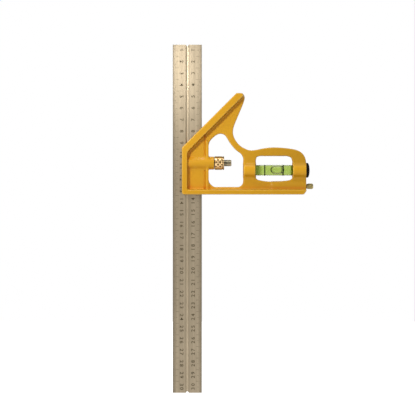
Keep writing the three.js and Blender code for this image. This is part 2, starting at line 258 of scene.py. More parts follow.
def apply_boolean(ob, operation, tool):
    """Cuts or joins the tool into the object and removes the tool."""
    modifier = ob.modifiers.new("boolean", "BOOLEAN")
    modifier.operation = operation
    modifier.solver = "EXACT"
    modifier.object = tool
    mesh = evaluated_mesh(ob)
    ob.modifiers.clear()
    ob.data = mesh
    bpy.data.objects.remove(tool)


def smooth_all(mesh):
    mesh.polygons.foreach_set("use_smooth", np.ones(len(mesh.polygons), bool))


# ------------------------------------------------------------------ shader helpers


class Shader:
    """A node tree being built. Most methods add a node and return its output socket."""

    def __init__(self, tree):
        self.tree = tree
        tree.nodes.clear()

    def node(self, kind, **properties):
        added = self.tree.nodes.new("ShaderNode" + kind)
        for name, value in properties.items():
            setattr(added, name, value)
        return added

    def feed(self, socket, value):
        """Links a socket, or sets a number or an RGB colour."""
        if isinstance(value, bpy.types.NodeSocket):
            self.tree.links.new(value, socket)
        else:
            socket.default_value = (*value, 1) if isinstance(value, tuple) else value

    def set_surface(self, values):
        for name, value in values.items():
            self.feed(self.surface.inputs[name], value)

    def coordinates(self, scale=(1, 1, 1)):
        mapping = self.node("Mapping")
        mapping.inputs["Scale"].default_value = scale
        self.feed(mapping.inputs["Vector"], self.node("TexCoord").outputs["Object"])
        return mapping.outputs[0]

    def position(self, kind="Object"):
        """The x, y and z sockets of a texture coordinate."""
        split = self.node("SeparateXYZ")
        self.feed(split.inputs[0], self.node("TexCoord").outputs[kind])
        return split.outputs[0], split.outputs[1], split.outputs[2]

    def noise(self, vector, scale, detail=3.0, roughness=0.5):
        noise = self.node("TexNoise")
        self.feed(noise.inputs["Scale"], scale)
        self.feed(noise.inputs["Detail"], detail)
        self.feed(noise.inputs["Roughness"], roughness)
        self.feed(noise.inputs["Vector"], vector)
        return noise.outputs["Fac"]

    def ramp(self, value, stops):
        """stops are (position, colour) pairs. A single number is a grey."""
        ramp = self.node("ValToRGB")
        elements = ramp.color_ramp.elements
        while len(elements) > 1:
            elements.remove(elements[-1])
        for i, (position, colour) in enumerate(stops):
            element = elements.new(position) if i else elements[0]
            element.position = position
            element.color = (*(colour if isinstance(colour, tuple) else (colour,) * 3), 1)
        self.feed(ramp.inputs[0], value)
        return ramp.outputs[0]

    def remap(self, value, source, to=(0.0, 1.0)):
        """Maps the source range to the range in to, clamped."""
        mapping = self.node("MapRange")
        for i, number in enumerate((*source, *to), 1):
            mapping.inputs[i].default_value = number
        self.feed(mapping.inputs[0], value)
        return mapping.outputs[0]

    def remap_mm(self, value, source, to=(0.0, 1.0)):
        return self.remap(value, [number * MM for number in source], to)

    def ramp_along_x(self, x_start, x_end, stops):
        x, _, _ = self.position()
        return self.ramp(self.remap_mm(x, (x_start, x_end)), stops)

    def math(self, operation, first, second=None):
        node = self.node("Math", operation=operation)
        self.feed(node.inputs[0], first)
        if second is not None:
            self.feed(node.inputs[1], second)
        return node.outputs[0]

    def distance(self, coordinate, centre):
        """Absolute distance of a coordinate from a centre in millimetres."""
        return self.math("ABSOLUTE", self.math("SUBTRACT", coordinate, centre * MM))

    def mix(self, factor, a, b, blend="MIX"):
        node = self.node("Mix", data_type="RGBA", blend_type=blend)
        for i, value in ((0, factor), (6, a), (7, b)):
            self.feed(node.inputs[i], value)
        return node.outputs[2]

    def multiply(self, colour, tint):
        return self.mix(1.0, colour, tint, "MULTIPLY")

    def multiply_where(self, mask, colour, tint):
        return self.mix(mask, colour, self.multiply(colour, tint))

    def facing(self, start, end, most=1.0):
        """A mask that grows as the surface turns away from the eye."""
        weight = self.node("LayerWeight")
        self.feed(weight.inputs["Blend"], 0.5)
        return self.remap(weight.outputs["Facing"], (start, end), to=(0.0, most))

    # painted shade: darkens the colour towards the tint where the surface turns away from the
    # eye
    def darken_turned_away(self, colour, start, end, tint):
        return self.multiply_where(self.facing(start, end), colour, tint)

    def bump(self, height, strength, distance, normal=None):
        bump = self.node("Bump")
        self.feed(bump.inputs["Strength"], strength)
        self.feed(bump.inputs["Distance"], distance)
        self.feed(bump.inputs["Height"], height)
        if normal is not None:
            self.feed(bump.inputs["Normal"], normal)
        return bump.outputs[0]

    def mix_shader(self, factor, a, b):
        node = self.node("MixShader")
        for i, value in enumerate((factor, a, b)):
            self.feed(node.inputs[i], value)
        return node.outputs[0]


def new_material(name):
    material = bpy.data.materials.new(name)
    material.use_nodes = True
    shader = Shader(material.node_tree)
    shader.output = shader.node("OutputMaterial")
    shader.surface = shader.node("BsdfPrincipled")
    shader.feed(shader.output.inputs[0], shader.surface.outputs[0])
    return material, shader


def srgb(*channels):
    """Linear colour from 0-255 sRGB channels."""
    def linear(value):
        return ((value + 0.055) / 1.055) ** 2.4 if value > 0.04045 else value / 12.92
    return tuple(linear(channel / 255) for channel in channels)


def scaled(colour, factor):
    return tuple(channel * factor for channel in colour)


# ------------------------------------------------------------------ materials


def paint_material():
    """Yellow powder coat with orange peel. Painted highlights lighten its edges; painted shade
    darkens its corners, the right of its web and faces turned away; painted light brightens the
    vial's bosses.
    """
    material, s = new_material("powder_coat_yellow")
    where = s.coordinates()
    peel = s.noise(where, scale=1500)            # about 0.7 mm
    mottle = s.noise(where, scale=380)
    cloud = s.noise(where, scale=32)
    colour = s.ramp(cloud, [(0.3, srgb(228, 166, 14)), (0.7, srgb(234, 173, 22))])
    mottled = s.remap(mottle, (0.35, 0.65), to=(0.0, 0.22))
    colour = s.mix(mottled, colour, srgb(219, 150, 12))

    pointiness = s.node("NewGeometry").outputs["Pointiness"]
    # painted highlight: the coat is lighter on its rounded edges
    edges = s.remap(pointiness, (0.507, 0.545), to=(0.0, 0.85))
    # painted shade: the coat is darker in its concave fillets and corners
    crevices = s.remap(pointiness, (0.49, 0.42), to=(0.0, 0.8))
    colour = s.mix(edges, colour, srgb(250, 200, 84))
    colour = s.mix(crevices, colour, srgb(200, 128, 6))
    # painted shade in corners: ambient occlusion darkens the coat and turns it more orange
    occlusion = s.node("AmbientOcclusion", samples=10)
    s.feed(occlusion.inputs["Distance"], 0.0055)
    colour = s.multiply(colour, s.ramp(occlusion.outputs["AO"], [
        (0.35, (0.90, 0.54, 0.12)), (0.60, (1.0, 0.70, 0.32)), (0.85, 1.0)]))

    # painted shade on the recessed web, growing towards its right
    x, y, z = s.position()
    off_centre = s.math("ABSOLUTE", y)
    painted_web_shade = s.math("MULTIPLY", s.remap_mm(off_centre, (4.2, 5.4), to=(1.0, 0.0)),
                    s.remap_mm(x, (-6, 14)))
    colour = s.multiply_where(painted_web_shade, colour, (0.90, 0.91, 0.86))
    # painted light: the vial's bosses are lighter
    near_vial = s.remap_mm(s.distance(z, VIAL_Z), (4.4, 5.6), to=(1.0, 0.0))
    painted_boss_light = s.math("MULTIPLY", s.remap_mm(off_centre, (4.8, 6.0)), near_vial)
    painted_boss_light = s.math("MULTIPLY", painted_boss_light, s.remap_mm(x, (-3, -1)))
    colour = s.multiply_where(painted_boss_light, colour, (1.19, 1.19, 1.15))
    # painted shade where the coat turns away from the eye
    colour = s.darken_turned_away(colour, start=0.42, end=0.92, tint=(0.62, 0.66, 0.45))

    broad = s.bump(mottle, strength=0.10, distance=0.00008)
    s.set_surface({
        "Base Color": colour,
        "Roughness": s.remap(mottle, (0.3, 0.7), to=(0.42, 0.52)),
        "Coat Weight": 0.26,
        "Coat Roughness": 0.20,
        "Specular IOR Level": 0.24,
        "Normal": s.bump(peel, strength=0.12, distance=0.00003, normal=broad)})
    return material


def keyway_dirt(s, colour):
    """Painted shade in the milled slot along the bolt's front."""
    _, y, z = s.position()
    inside = s.remap_mm(s.distance(z, BOLT_Z), (0.44, 0.62), to=(1.0, 0.0))
    front = s.remap_mm(y, (-1.2, -1.5))
    return s.multiply_where(s.math("MULTIPLY", inside, front), colour, (0.16, 0.15, 0.12))


def brushed_material(name, low, high, roughness, lines_along, metallic=1.0, bands=None,
                     turned_away=None, keyway=False):
    """Metal with fine lines along X or Z. bands are (x start, x end, stops) of painted shade and
    light.
    """
    material, s = new_material(name)
    stretch, tangent = {"z": ((1, 1, 0.012), (1.0, 0.0)),
                        "x": ((0.012, 1, 1), (0.0, 1.0))}[lines_along]
    where = s.coordinates(stretch)
    lines = s.noise(where, scale=5200, detail=4, roughness=0.65)
    wide = s.noise(where, scale=900)
    cloud = s.noise(s.coordinates(), scale=55, detail=4, roughness=0.6)
    streaks = s.remap(s.math("ADD", lines, wide), (0.6, 1.4))
    colour = s.ramp(streaks, [(0.2, low), (0.8, high)])
    clouded = s.remap(cloud, (0.35, 0.7), to=(0.0, 0.30))
    colour = s.mix(clouded, colour, scaled(low, 0.8))
    # painted shade and light in bands along X
    if bands:
        colour = s.multiply(colour, s.ramp_along_x(*bands))
    # painted shade where the metal turns away from the eye
    if turned_away:
        colour = s.darken_turned_away(colour, **turned_away)
        s.set_surface({"Specular Tint": (0.40, 0.38, 0.32)})
    # painted shade in the bolt's keyway
    if keyway:
        colour = keyway_dirt(s, colour)
    across = s.node("CombineXYZ")                # highlights stretch across the lines
    across.inputs[0].default_value, across.inputs[2].default_value = tangent
    s.set_surface({
        "Base Color": colour,
        "Metallic": metallic,
        "Roughness": s.remap(lines, (0.3, 0.7), to=roughness),
        "Anisotropic": 0.5,
        "Tangent": across.outputs[0],
        "Normal": s.bump(lines, strength=0.12, distance=0.00002)})
    return material


def brass_material(name, base, bright, dirt, roughness, turned_away, specular_tint, bands=None):
    """Brass with turning lines, dirty crevices and bright edges, painted shade where it turns
    away from the eye and, for the nut, painted shade along it.
    """
    material, s = new_material(name)
    lines = s.noise(s.coordinates((1, 0.05, 0.05)), scale=4000, roughness=0.6)
    cloud = s.noise(s.coordinates(), scale=260, detail=4, roughness=0.6)
    colour = s.ramp(lines, [(0.3, base), (0.7, bright)])
    colour = s.mix(s.remap(cloud, (0.45, 0.75), to=(0.0, 0.45)), colour, dirt)
    pointiness = s.node("NewGeometry").outputs["Pointiness"]
    crevices = s.remap(pointiness, (0.495, 0.42))
    edges = s.remap(pointiness, (0.51, 0.60), to=(0.0, 0.7))
    colour = s.mix(crevices, colour, scaled(dirt, 0.35))
    colour = s.mix(edges, colour, tuple(min(1, channel * 1.25) for channel in bright))
    # painted shade in bands along X
    if bands:
        colour = s.multiply(colour, s.ramp_along_x(*bands))
    # the base colour carries painted shade where the brass turns away from the eye
    s.set_surface({
        "Base Color": s.darken_turned_away(colour, **turned_away),
        "Metallic": 1.0,
        "Specular Tint": specular_tint,
        "Roughness": s.remap(cloud, (0.3, 0.7), to=roughness),
        "Normal": s.bump(lines, strength=0.15, distance=0.00002)})
    return material


def plain_material(name, colour, roughness, grain, relief, specular, variation):
    """One colour that varies in broad clouds, with a fine grain in relief."""
    material, s = new_material(name)
    where = s.coordinates()
    fine = s.noise(where, scale=grain, detail=4, roughness=0.6)
    cloud = s.noise(where, scale=grain / 9)
    brighter = tuple(min(1, channel * (1 + variation)) for channel in colour)
    s.set_surface({
        "Base Color": s.ramp(cloud, [(0.3, scaled(colour, 1 - variation)), (0.7, brighter)]),
        "Roughness": s.remap(fine, (0.3, 0.7), to=(roughness - 0.06, roughness + 0.06)),
        "Specular IOR Level": specular,
        "Normal": s.bump(fine, strength=relief, distance=0.00004)})
    return material


def clear_material(name, ior, tint=None, roughness=0.0, specular=0.5, absorb=None, density=0.0):
    """A clear piece. Light that crosses it takes the absorb colour. Also returns its shader."""
    material, s = new_material(name)
    if tint:
        soft = s.noise(s.coordinates(), scale=60, detail=2)
        s.set_surface({"Base Color": s.ramp(soft, [(0.3, scaled(tint, 0.97)), (0.7, tint)])})
    s.set_surface({
        "Transmission Weight": 1.0,
        "IOR": ior,
        "Specular IOR Level": specular,
        "Specular Tint": (0.10, 0.10, 0.10),
        "Roughness": roughness})
    if absorb:
        volume = s.node("VolumeAbsorption")
        s.feed(volume.inputs["Color"], absorb)
        s.feed(volume.inputs["Density"], density)
        s.feed(s.output.inputs["Volume"], volume.outputs[0])
    return material, s


def acrylic_material():
    """The vial tube, with painted shade at both ends and painted shade at its edges."""
    material, s = clear_material("vial_acrylic", ior=1.46, specular=0.12,
                                 absorb=(0.70, 0.78, 0.30), density=85.0)
    clear, right_end = (0.95, 0.98, 0.89), (0.46, 0.40, 0.10)
    # painted shade at both ends of the tube
    colour = s.ramp_along_x(9.0, 42.0, [
        (0.0, (0.52, 0.52, 0.34)), (0.10, (0.60, 0.62, 0.44)), (0.21, clear),
        (0.925, clear), (0.965, right_end), (1.0, right_end)])
    # painted shade at the tube's edges where it turns away
    colour = s.darken_turned_away(colour, start=0.34, end=0.70, tint=(0.60, 0.66, 0.33))
    s.set_surface({"Base Color": colour})
    return material


def air_material():
    """The bubble, with a painted dark rim standing in for the shade at its outline in the
    spirit.
    """
    # the index is air's against the liquid around it
    material, s = clear_material("vial_air_bubble", ior=0.74, tint=(1, 1, 1))
    # painted shade: a dark diffuse rim where the bubble turns away from the eye
    rim = s.node("BsdfDiffuse")
    s.feed(rim.inputs["Color"], (0.10, 0.14, 0.02))
    mask = s.facing(start=0.46, end=0.72, most=0.62)
    s.feed(s.output.inputs[0], s.mix_shader(mask, s.surface.outputs[0], rim.outputs[0]))
    return material


# painted shade and light across the rule: darker edges, darker lines beside the groove in its
# middle, and a lighter groove
RULE_PAINTED_SHADE_AND_LIGHT = [
    (0.0, 0.50), (0.03, 0.58), (0.07, 0.84), (0.425, 0.84), (0.443, 0.70), (0.462, 0.98),
    (0.538, 0.98), (0.557, 0.70), (0.575, 0.84), (0.93, 0.84), (0.97, 0.60), (1.0, 0.52)]
# painted shade along the nut: its left end and the collar at its right end are darker
NUT_PAINTED_SHADE = [(0.0, 0.8), (0.1, 1.0), (0.80, 1.0), (0.86, 0.70), (1.0, 0.62)]

PAINT = paint_material()
RULE_STEEL = brushed_material(
    "rule_satin_steel", srgb(174, 159, 134), srgb(195, 179, 153), roughness=(0.34, 0.44),
    lines_along="z", bands=(RULE_LO[0], RULE_HI[0], RULE_PAINTED_SHADE_AND_LIGHT))
INK = plain_material("etched_marks", srgb(84, 72, 48), roughness=0.75, grain=2500,
                     relief=0.1, specular=0.3, variation=0.3)
BOLT_STEEL = brushed_material(
    "bolt_zinc_steel", srgb(212, 204, 174), srgb(252, 244, 214), roughness=(0.26, 0.38),
    lines_along="x", metallic=0.45, keyway=True,
    turned_away=dict(start=0.24, end=0.44, tint=(0.36, 0.34, 0.27)))
WIRE = brushed_material("spring_wire", srgb(130, 130, 130), srgb(180, 180, 180),
                        roughness=(0.25, 0.35), lines_along="x")
NEEDLE_STEEL = brushed_material("needle_ground_steel", srgb(140, 140, 138),
                                srgb(190, 190, 188), roughness=(0.18, 0.28), lines_along="x")
NUT_BRASS = brass_material(
    "nut_brass", base=srgb(228, 186, 128), bright=srgb(248, 214, 160), dirt=srgb(118, 96, 40),
    roughness=(0.24, 0.36), bands=(NUT_LO[0], NUT_HI[0], NUT_PAINTED_SHADE),
    turned_away=dict(start=0.25, end=0.66, tint=(0.22, 0.225, 0.055)),
    specular_tint=(0.45, 0.38, 0.16))
KNOB_BRASS = brass_material(
    "scriber_dull_brass", base=srgb(146, 130, 82), bright=srgb(184, 168, 116),
    dirt=srgb(92, 78, 42), roughness=(0.34, 0.48),
    turned_away=dict(start=0.4, end=0.9, tint=(0.45, 0.42, 0.25)),
    specular_tint=(0.45, 0.38, 0.16))
NYLON = plain_material("bush_nylon", srgb(226, 222, 210), roughness=0.5, grain=700,
                       relief=0.1, specular=0.5, variation=0.05)
RUBBER = plain_material("cap_black_rubber", (0.0030, 0.0022, 0.0016), roughness=0.7,
                        grain=1400, relief=0.25, specular=0.10, variation=0.3)
RING_INK = plain_material("vial_black_ring", (0.012, 0.03, 0.003), roughness=0.6,
                          grain=1500, relief=0.1, specular=0.4, variation=0.3)
ACRYLIC = acrylic_material()
SPIRIT, _ = clear_material("vial_lime_spirit", ior=1.36, tint=(1.0, 1.0, 0.97), specular=0.1,
                           absorb=(0.60, 0.715, 0.02), density=262.0)
AIR = air_material()
PLUG_ACRYLIC, _ = clear_material("vial_plug_acrylic", ior=1.46, tint=srgb(214, 240, 170),
                                 roughness=0.12)

# ------------------------------------------------------------------ head casting: outlines
WEB_Y = 3.2                           # half depth of the web
BASE_T, SIDE_T, MITRE_T = 4.1, 4.5, 5.9          # flange thicknesses
MITRE_Z = 40.3                        # where the 45-degree face leaves the left side
MITRE_RUN = MITRE_T * math.sqrt(2)    # the mitre flange's thickness measured along X or Z
MITRE_END_X = HEAD_TOP - MITRE_Z - HEAD_X
CORNER_R = 2.0
CORNER_TRIM = CORNER_R * math.tan(math.radians(22.5))

# free edge from the right foot over the waist to the top of the 45-degree face, (x, z)
LIMB = catmull([
    (53.5, 25.5), (53.1, 29.7), (51.7, 33.4), (48.9, 36.5), (44.7, 38.5), (39.1, 39.6),
    (32.5, 40.3), (25.0, 40.6), (18.0, 40.0), (12.0, 38.8), (7.4, 38.1), (4.7, 38.2),
    (2.4, 38.8), (0.2, 39.8), (-2.1, 41.1), (-4.1, 42.7), (-5.8, 44.5), (-7.4, 46.8),
    (-8.7, 49.3), (-9.5, 52.3), (-9.5, 55.4), (-8.7, 58.8), (-7.4, 62.2), (-5.9, 65.8),
    (-4.3, 69.6), (-2.7, 73.4), (-1.2, 77.1), (0.0, 80.4), (0.5, 82.8), (0.3, 84.6),
    (-0.6, 86.2), (-2.2, HEAD_TOP)], steps=4)
# the two openings in the web, (x, z)
LEFT_WINDOW = [(-30.5, 12.6)]
LEFT_WINDOW += catmull([
    (-30.5, 42.4), (-29.3, 46.0), (-25.6, 49.9), (-22.6, 51.8), (-19.8, 52.3), (-16.9, 51.3),
    (-15.0, 49.0), (-12.3, 44.5), (-7.7, 38.9), (-2.4, 34.6), (-0.8, 31.4)], steps=4)
LEFT_WINDOW += catmull([(-0.8, 11.6), (-1.5, 8.8), (-4.4, 6.5)], steps=6)
LEFT_WINDOW += catmull([(-25.4, 6.5), (-27.4, 7.6), (-29.8, 10.2), (-30.5, 12.6)], steps=4)[:-1]
RIGHT_WINDOW = catmull([
    (10.1, 14.2), (11.4, 13.0), (15.5, 11.9), (20.5, 11.3), (26.0, 11.1), (31.5, 11.3),
    (36.5, 11.9), (40.4, 13.0), (41.6, 14.2)], steps=4)
RIGHT_WINDOW += catmull([(41.6, 28.6), (40.3, 31.8), (37.0, 33.1)], steps=6)
RIGHT_WINDOW += catmull([(13.9, 33.1), (11.0, 32.2), (10.1, 29.4)], steps=6)

OUTLINE = [(-HEAD_X + CORNER_R + CORNER_R * math.cos(q), CORNER_R + CORNER_R * math.sin(q))
           for q in np.linspace(math.pi, 1.5 * math.pi, 7)]
OUTLINE += [(51.2, 0), (HEAD_X, 3.0)] + LIMB + [
    (MITRE_END_X, HEAD_TOP),
    (-HEAD_X + CORNER_TRIM / math.sqrt(2), MITRE_Z + CORNER_TRIM / math.sqrt(2)),
    (-HEAD_X + 0.08 * CORNER_R, MITRE_Z - 0.035 * CORNER_R),
    (-HEAD_X, MITRE_Z - CORNER_TRIM)]

# flange strips along the base, the left side and the 45-degree face, (x, z)
BASE_STRIP = [(-HEAD_X, -5), (HEAD_X, -5), (HEAD_X, BASE_T), (-HEAD_X, BASE_T)]
SIDE_STRIP = [(-HEAD_X - 5, 0), (-HEAD_X + SIDE_T, 0),
              (-HEAD_X + SIDE_T, MITRE_Z + 0.6), (-HEAD_X - 5, MITRE_Z + 0.6)]
MITRE_INNER_X = HEAD_TOP - 2.4 - MITRE_Z + MITRE_RUN - HEAD_X
MITRE_STRIP = [
    (-HEAD_X - 3, MITRE_Z - 3), (-HEAD_X, MITRE_Z - 5),
    (-HEAD_X + 3.2, MITRE_Z - MITRE_RUN + 3.2), (MITRE_INNER_X, HEAD_TOP - 2.4),
    (MITRE_INNER_X - 1.0, HEAD_TOP + 3), (MITRE_END_X, HEAD_TOP + 3),
    (-HEAD_X - 3, MITRE_Z - 1)]
RIB = [(-32.9, 3.0), (-30.3, 3.0), (-30.3, 42.6), (-30.8, 44.9), (-32.9, 46.9)]

# x start, x end, radius, axis z, edge rounding, fillet to the body
BOSSES = [
    (-52.4, -25.7, 5.65, BOLT_Z, 0.55, 1.2),
    (-0.4, 9.7, 6.6, VIAL_Z, 0.8, 1.5),
    (42.0, HEAD_X + 3, 6.6, VIAL_Z, 0.8, 1.5),
    (23.0, HEAD_X + 3, 4.0, SCRIBER_Z, 2.2, 1.8)]
# x start, x end, radius, axis z
BORES = [
    (BOLT_LO[0] - 1.4, -20, 3.15, BOLT_Z),
    (-33.5, -20, 4.1, BOLT_Z),
    (TUBE_LO[0] - 0.3, 70, 4.8, VIAL_Z),
    (8.0, 70, 1.5, SCRIBER_Z),
    (47.2, 70, 2.5, SCRIBER_Z)]

# ------------------------------------------------------------------ head casting: solid
CUBE_CORNERS = list(np.ndindex(2, 2, 2))


def smooth_union(a, b, fillet):
    overlap = np.maximum(fillet - np.abs(a - b), 0)
    return np.minimum(a, b) - overlap * overlap / (4 * fillet)


def smooth_cut(body, tool, fillet):
    return -smooth_union(-body, tool, fillet)


def rounded_meet(a, b, rounding):
    """Where two distances, both already inset by the rounding, meet in a rounded edge."""
    outside = np.sqrt(np.maximum(a, 0) ** 2 + np.maximum(b, 0) ** 2)
    return outside + np.minimum(np.maximum(a, b), 0) - rounding


class Grid:
    """Sample points round the head. Distances are negative inside a shape."""

    def __init__(self, step, margin=1.1):
        self.step = step
        self.low = np.array([HEAD_LO[0] - margin, -FLANGE_Y - margin, -margin])
        high = np.array([HEAD_X + margin, FLANGE_Y + margin, HEAD_TOP + margin])
        self.count = np.ceil((high - self.low) / step).astype(int) + 1
        x, y, z = [(low + step * np.arange(count)).astype(np.float32)
                   for low, count in zip(self.low, self.count)]
        self.flat_x, self.flat_z = np.meshgrid(x, z, indexing="ij")
        self.x = x[:, None, None]
        self.abs_y = np.abs(y)[None, :, None]
        self.z = z[None, None, :]

    def outline(self, points):
        """Distance in the XZ plane to a closed outline."""
        gx, gz = self.flat_x, self.flat_z
        starts = np.array(points, np.float32)
        squared = np.full(gx.shape, 1e9, np.float32)
        inside = np.zeros(gx.shape, bool)
        for (ax, az), (bx, bz) in zip(starts, np.roll(starts, -1, 0)):
            ex, ez = bx - ax, bz - az
            length2 = ex * ex + ez * ez
            if length2 < 1e-12:
                continue
            t = np.clip(((gx - ax) * ex + (gz - az) * ez) / length2, 0, 1)
            squared = np.minimum(squared, (gx - ax - t * ex) ** 2 + (gz - az - t * ez) ** 2)
            crosses = (az > gz) != (bz > gz)
            cross_x = ax + (gz - az) * ex / (ez if abs(ez) > 1e-12 else 1e-12)
            inside ^= crosses & (gx < cross_x)
        return np.where(inside, -np.sqrt(squared), np.sqrt(squared))

    def extrude(self, flat, half_depth, rounding):
        return rounded_meet((flat + rounding)[:, None, :],
                            self.abs_y - (half_depth - rounding), rounding)

    def cylinder(self, x0, x1, radius, axis_z, rounding):
        around = np.sqrt(self.abs_y ** 2 + (self.z - axis_z) ** 2) - radius + rounding
        along = np.abs(self.x - (x0 + x1) / 2) - (x1 - x0) / 2 + rounding
        return rounded_meet(around, along, rounding)


def head_field(grid):
    """Distance to the casting at every grid point."""
    outline = grid.outline(OUTLINE)
    left_window = grid.outline(LEFT_WINDOW)
    right_window = grid.outline(RIGHT_WINDOW)
    envelope = grid.extrude(outline, FLANGE_Y, 0.75)
    web = np.maximum(np.maximum(outline, -left_window), -right_window)
    web = grid.extrude(web, WEB_Y, 1.1)

    strips = smooth_union(grid.outline(BASE_STRIP), grid.outline(SIDE_STRIP), 1.8)
    strips = smooth_union(strips, grid.outline(MITRE_STRIP), 2.0)
    # drafted inner walls: the flange is a little thicker at its root
    draft = np.maximum(0.05 * (FLANGE_Y - grid.abs_y), 0)
    near_wall = (1 - np.clip(-strips - 1.5, 0, 1))[:, None, :]
    flange = np.maximum(envelope, grid.extrude(strips, FLANGE_Y, 0.75) - draft * near_wall)

    body = smooth_union(flange, web, 1.9)
    body = smooth_union(body, grid.extrude(grid.outline(RIB), 4.3, 0.7), 0.9)
    body = np.maximum(body, -grid.extrude(left_window, 60.0, 0.01))
    for *boss, fillet in BOSSES:
        body = smooth_union(body, grid.cylinder(*boss), fillet)
    body = np.maximum(body, envelope)            # the fillets stay inside the outline

    # shallow groove along the rule housing, broken at the bolt's boss; zero inside
    ends = np.maximum(BASE_T + 0.6 - grid.z, grid.z - 51.4)
    clear_of_bolt = 6.1 - np.abs(grid.z - BOLT_Z)
    groove = np.maximum(np.abs(grid.x + 33.95) - 0.75, 2.45 - grid.abs_y)
    groove = np.maximum(groove, np.maximum(np.maximum(ends, 0), clear_of_bolt))
    body = smooth_cut(body, groove, 0.35)
    # rule slot, open at the rule's side
    slot = np.maximum(grid.abs_y - 0.78, grid.x - (RULE_HI[0] + 0.2))
    body = np.maximum(body, -slot)
    for bore in BORES:
        body = smooth_cut(body, grid.cylinder(*bore, 0.05), 0.35)

    field = body.astype(np.float32)
    field[[0, -1]] = 1
    field[:, [0, -1]] = 1
    field[:, :, [0, -1]] = 1
    return field


def net_points(field, active):
    """One point per active cell, the mean of its edge crossings, in grid steps."""
    cells = np.argwhere(active)
    total, crossings = np.zeros((len(cells), 3)), np.zeros(len(cells))
    for corner in CUBE_CORNERS:
        for axis in range(3):
            if corner[axis]:
                continue
            far = list(corner)
            far[axis] = 1
            near_value = field[tuple((cells + corner).T)]
            far_value = field[tuple((cells + far).T)]
            crossed = (near_value < 0) != (far_value < 0)
            span = np.where(crossed, near_value - far_value, 1)
            point = np.tile(np.array(corner, float), (len(cells), 1))
            point[:, axis] = np.where(crossed, near_value / span, 0)
            total[crossed] += point[crossed]
            crossings[crossed] += 1
    return cells + total / crossings[:, None]


def net_faces(solid, numbers, count):
    """A quad round every grid edge that crosses the surface."""
    faces = []
    for axis in range(3):
        u, v = (axis + 1) % 3, (axis + 2) % 3
        before = [slice(1, size - 1) for size in count]
        after = list(before)
        before[axis], after[axis] = slice(0, count[axis] - 1), slice(1, count[axis])
        start_solid = solid[tuple(before)]
        edges = np.argwhere(start_solid != solid[tuple(after)])
        flip = ~start_solid[tuple(edges.T)]
        edges[:, u] += 1
        edges[:, v] += 1
        quads = []
        for du, dv in ((0, 0), (-1, 0), (-1, -1), (0, -1)):
            cell = edges.copy()
            cell[:, u] += du
            cell[:, v] += dv
            quads.append(numbers[tuple(cell.T)])
        quads = np.stack(quads, 1)
        quads[flip] = quads[flip][:, ::-1]
        faces.append(quads)
    return np.concatenate(faces)


def field_normals(field, points, step, count):
    """Unit gradients of the field, interpolated at the points."""
    gradient = np.gradient(field, step)
    cell = np.floor(points).astype(int)
    part = points - cell
    normals = np.zeros_like(points)
    for corner in CUBE_CORNERS:
        weight = np.ones(len(points))
        for d in range(3):
            weight = weight * (part[:, d] if corner[d] else 1 - part[:, d])
        at = tuple(np.minimum(cell[:, d] + corner[d], count[d] - 1) for d in range(3))
        for d in range(3):
            normals[:, d] += weight * gradient[d][at]
    return normals / (np.linalg.norm(normals, axis=1, keepdims=True) + 1e-12)


def head_mesh(step):
    """Surface nets over the head's distance field."""
    grid = Grid(step)
    field = head_field(grid)
    solid, count = field < 0, grid.count
    inside = np.zeros(tuple(count - 1), np.int8)
    for i, j, k in CUBE_CORNERS:
        inside += solid[i:count[0] - 1 + i, j:count[1] - 1 + j, k:count[2] - 1 + k]
    active = (inside > 0) & (inside < 8)
    numbers = np.full(active.shape, -1, np.int64)
    numbers[active] = np.arange(int(active.sum()))
    points = net_points(field, active)
    return (grid.low + points * step, net_faces(solid, numbers, count),
            field_normals(field, points, step, count))


def head_piece():
    verts, quads, normals = head_mesh(0.36)
    mesh = bpy.data.meshes.new("head_body")
    mesh.vertices.add(len(verts))
    mesh.vertices.foreach_set("co", (verts * MM).astype(np.float32).ravel())
    mesh.loops.add(quads.size)
    mesh.loops.foreach_set("vertex_index", quads.astype(np.int32).ravel())
    mesh.polygons.add(len(quads))
    mesh.polygons.foreach_set("loop_start", np.arange(0, quads.size, 4, dtype=np.int32))
    mesh.update(calc_edges=True)
    mesh.validate()
    smooth_all(mesh)
    mesh.normals_split_custom_set_from_vertices([tuple(n) for n in normals.tolist()])
    ob = bpy.data.objects.new("head_body", mesh)
    bpy.context.scene.collection.objects.link(ob)
    finish_piece(ob, "head", PAINT, "head_casting")


head_piece()

# ------------------------------------------------------------------ rule


def rule_piece():
    """Strip with a groove down its front face and a notch at both ends."""
    left, front, bottom = RULE_LO
    right, back, top = RULE_HI
    bevel = 0.12
    groove_half, groove_depth, groove_steps = 1.25, 0.52, 16
    groove = []
    for i in range(groove_steps + 1):
        u = -1 + 2 * i / groove_steps
        depth = groove_depth * (1 - abs(u) ** 3.2) ** 0.7
        groove.append((RULE_MID + groove_half * u, front + depth))
    section = [(left + bevel, front), *groove, (right - bevel, front), (right, front + bevel),
               (right, back - bevel), (right - bevel, back), (left + bevel, back),
               (left, back - bevel), (left, front + bevel)]
    ob = prism("rule_blade", section, bottom, top, axis=2)
    for z, inward in ((bottom, 1), (top, -1)):
        notch = [(RULE_MID + x, z + inward * rise) for x, rise in (
            (-1.45, -1), (1.45, -1), (1.25, 0), (0.35, 1.25), (-0.35, 1.25), (-1.25, 0))]
        apply_boolean(ob, "DIFFERENCE", prism("cut", notch, -3, 3, axis=1))
    smooth_all(ob.data)
    sharpen(ob, 30)
    finish_piece(ob, "rule", RULE_STEEL, "rule")


rule_piece()

# ------------------------------------------------------------------ etched marks
RULE_CM = 30
MARK_INSET = 0.14                     # from the rule's edge to the start of a graduation
MARK_RAISED, MARK_SUNK = 0.012, 0.05
DIGIT_HEIGHT, DIGIT_WIDTH, DIGIT_PITCH = 3.1, 2.15, 3.3
DIGIT_BASELINE = 6.45                 # from the rule's middle
DIGIT_RISE = 5.4                      # of a number's middle above its centimetre line


